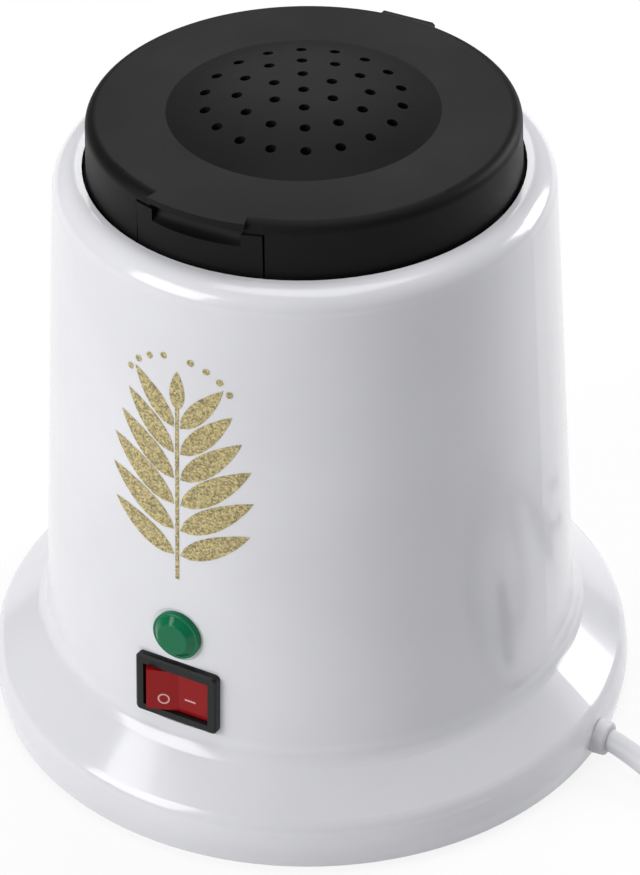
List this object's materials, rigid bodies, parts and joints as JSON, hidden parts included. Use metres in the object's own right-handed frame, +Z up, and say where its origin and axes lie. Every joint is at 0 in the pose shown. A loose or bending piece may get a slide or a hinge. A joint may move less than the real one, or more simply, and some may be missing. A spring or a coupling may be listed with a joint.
{
  "type": "glass bead sterilizer",
  "caption": "Round white bench sterilizer with a vented black hinged lid, a heated bead pot inside, a rocker switch, a pilot lamp and a mains lead.",
  "frame": {"origin": "centre of the housing's round base, on the plane that the rubber feet stand on", "axes": "+Z up; -Y is the front with the switch and the lamp; +Y is the hinge side; the mains lead leaves at +X"},
  "size_m": [0.2528, 0.1752, 0.1581],
  "materials": {
    "white_plastic": "gloss",
    "black_plastic": "satin",
    "black_nylon": "satin",
    "red_clear_plastic": "gloss",
    "green_clear_plastic": "gloss",
    "stainless_steel": "satin",
    "zinc_steel": "satin",
    "brass": "satin",
    "glass": "gloss",
    "black_rubber": "matte",
    "ceramic_fibre": "matte",
    "silicone": "matte",
    "white_pvc": "satin",
    "phenolic": "satin",
    "brown_pvc": "satin",
    "blue_pvc": "satin",
    "green_pvc": "satin"
  },
  "bodies": {
    "base": {"housing": "white_plastic", "base_plate": "zinc_steel", "rubber_feet": "black_rubber", "base_screws": "zinc_steel", "shield_posts": "zinc_steel", "post_screws": "zinc_steel", "deck": "black_plastic", "deck_screws": "zinc_steel", "hinge_pin": "stainless_steel", "crucible": "stainless_steel", "glass_beads": "glass", "mouth_gasket": "silicone", "heater_band": "stainless_steel", "clamp_screws": "zinc_steel", "insulation_sleeve": "ceramic_fibre", "insulation_disc": "ceramic_fibre", "heat_shield": "zinc_steel", "thermostat": "phenolic", "thermal_fuse": "brass", "switch_housing": "black_nylon", "switch_terminals": "brass", "lamp_lens": "green_clear_plastic", "lamp_body": "black_nylon", "lamp_nut": "black_nylon", "neon_bulb": "glass", "terminal_block": "white_pvc", "terminal_screws": "brass", "cord_gland": "white_pvc", "inner_lead": "white_pvc", "power_cord": "white_pvc", "cord_coil": "white_pvc", "cord_tail": "white_pvc", "cord_tie": "black_nylon", "plug_body": "white_pvc", "plug_pins": "brass", "block_inserts": "brass", "push_connectors": "black_nylon", "live_core": "brown_pvc", "neutral_core": "blue_pvc", "earth_core": "green_pvc", "switch_wire": "brown_pvc", "fuse_wire": "silicone", "thermostat_wire": "silicone", "heater_feed": "silicone", "heater_return": "silicone", "lamp_feed": "brown_pvc", "lamp_return": "blue_pvc", "earth_wire": "green_pvc", "earth_tag": "brass", "earth_stud": "zinc_steel", "earth_nut": "zinc_steel"},
    "lid": {"lid": "black_plastic"},
    "rocker": {"rocker": "red_clear_plastic"}
  },
  "joints": [
    {"name": "lid_hinge", "type": "hinge", "parent": "base", "child": "lid", "pos_m": [0, 0.047, 0.1466], "axis": [-1, 0, 0], "range_deg": [0, 100]},
    {"name": "switch_rocker", "type": "hinge", "parent": "base", "child": "rocker", "pos_m": [0, -0.05992, 0.03508], "axis": [0, 0.0649, 0.9979], "range_deg": [-20, 0]}
  ]
}
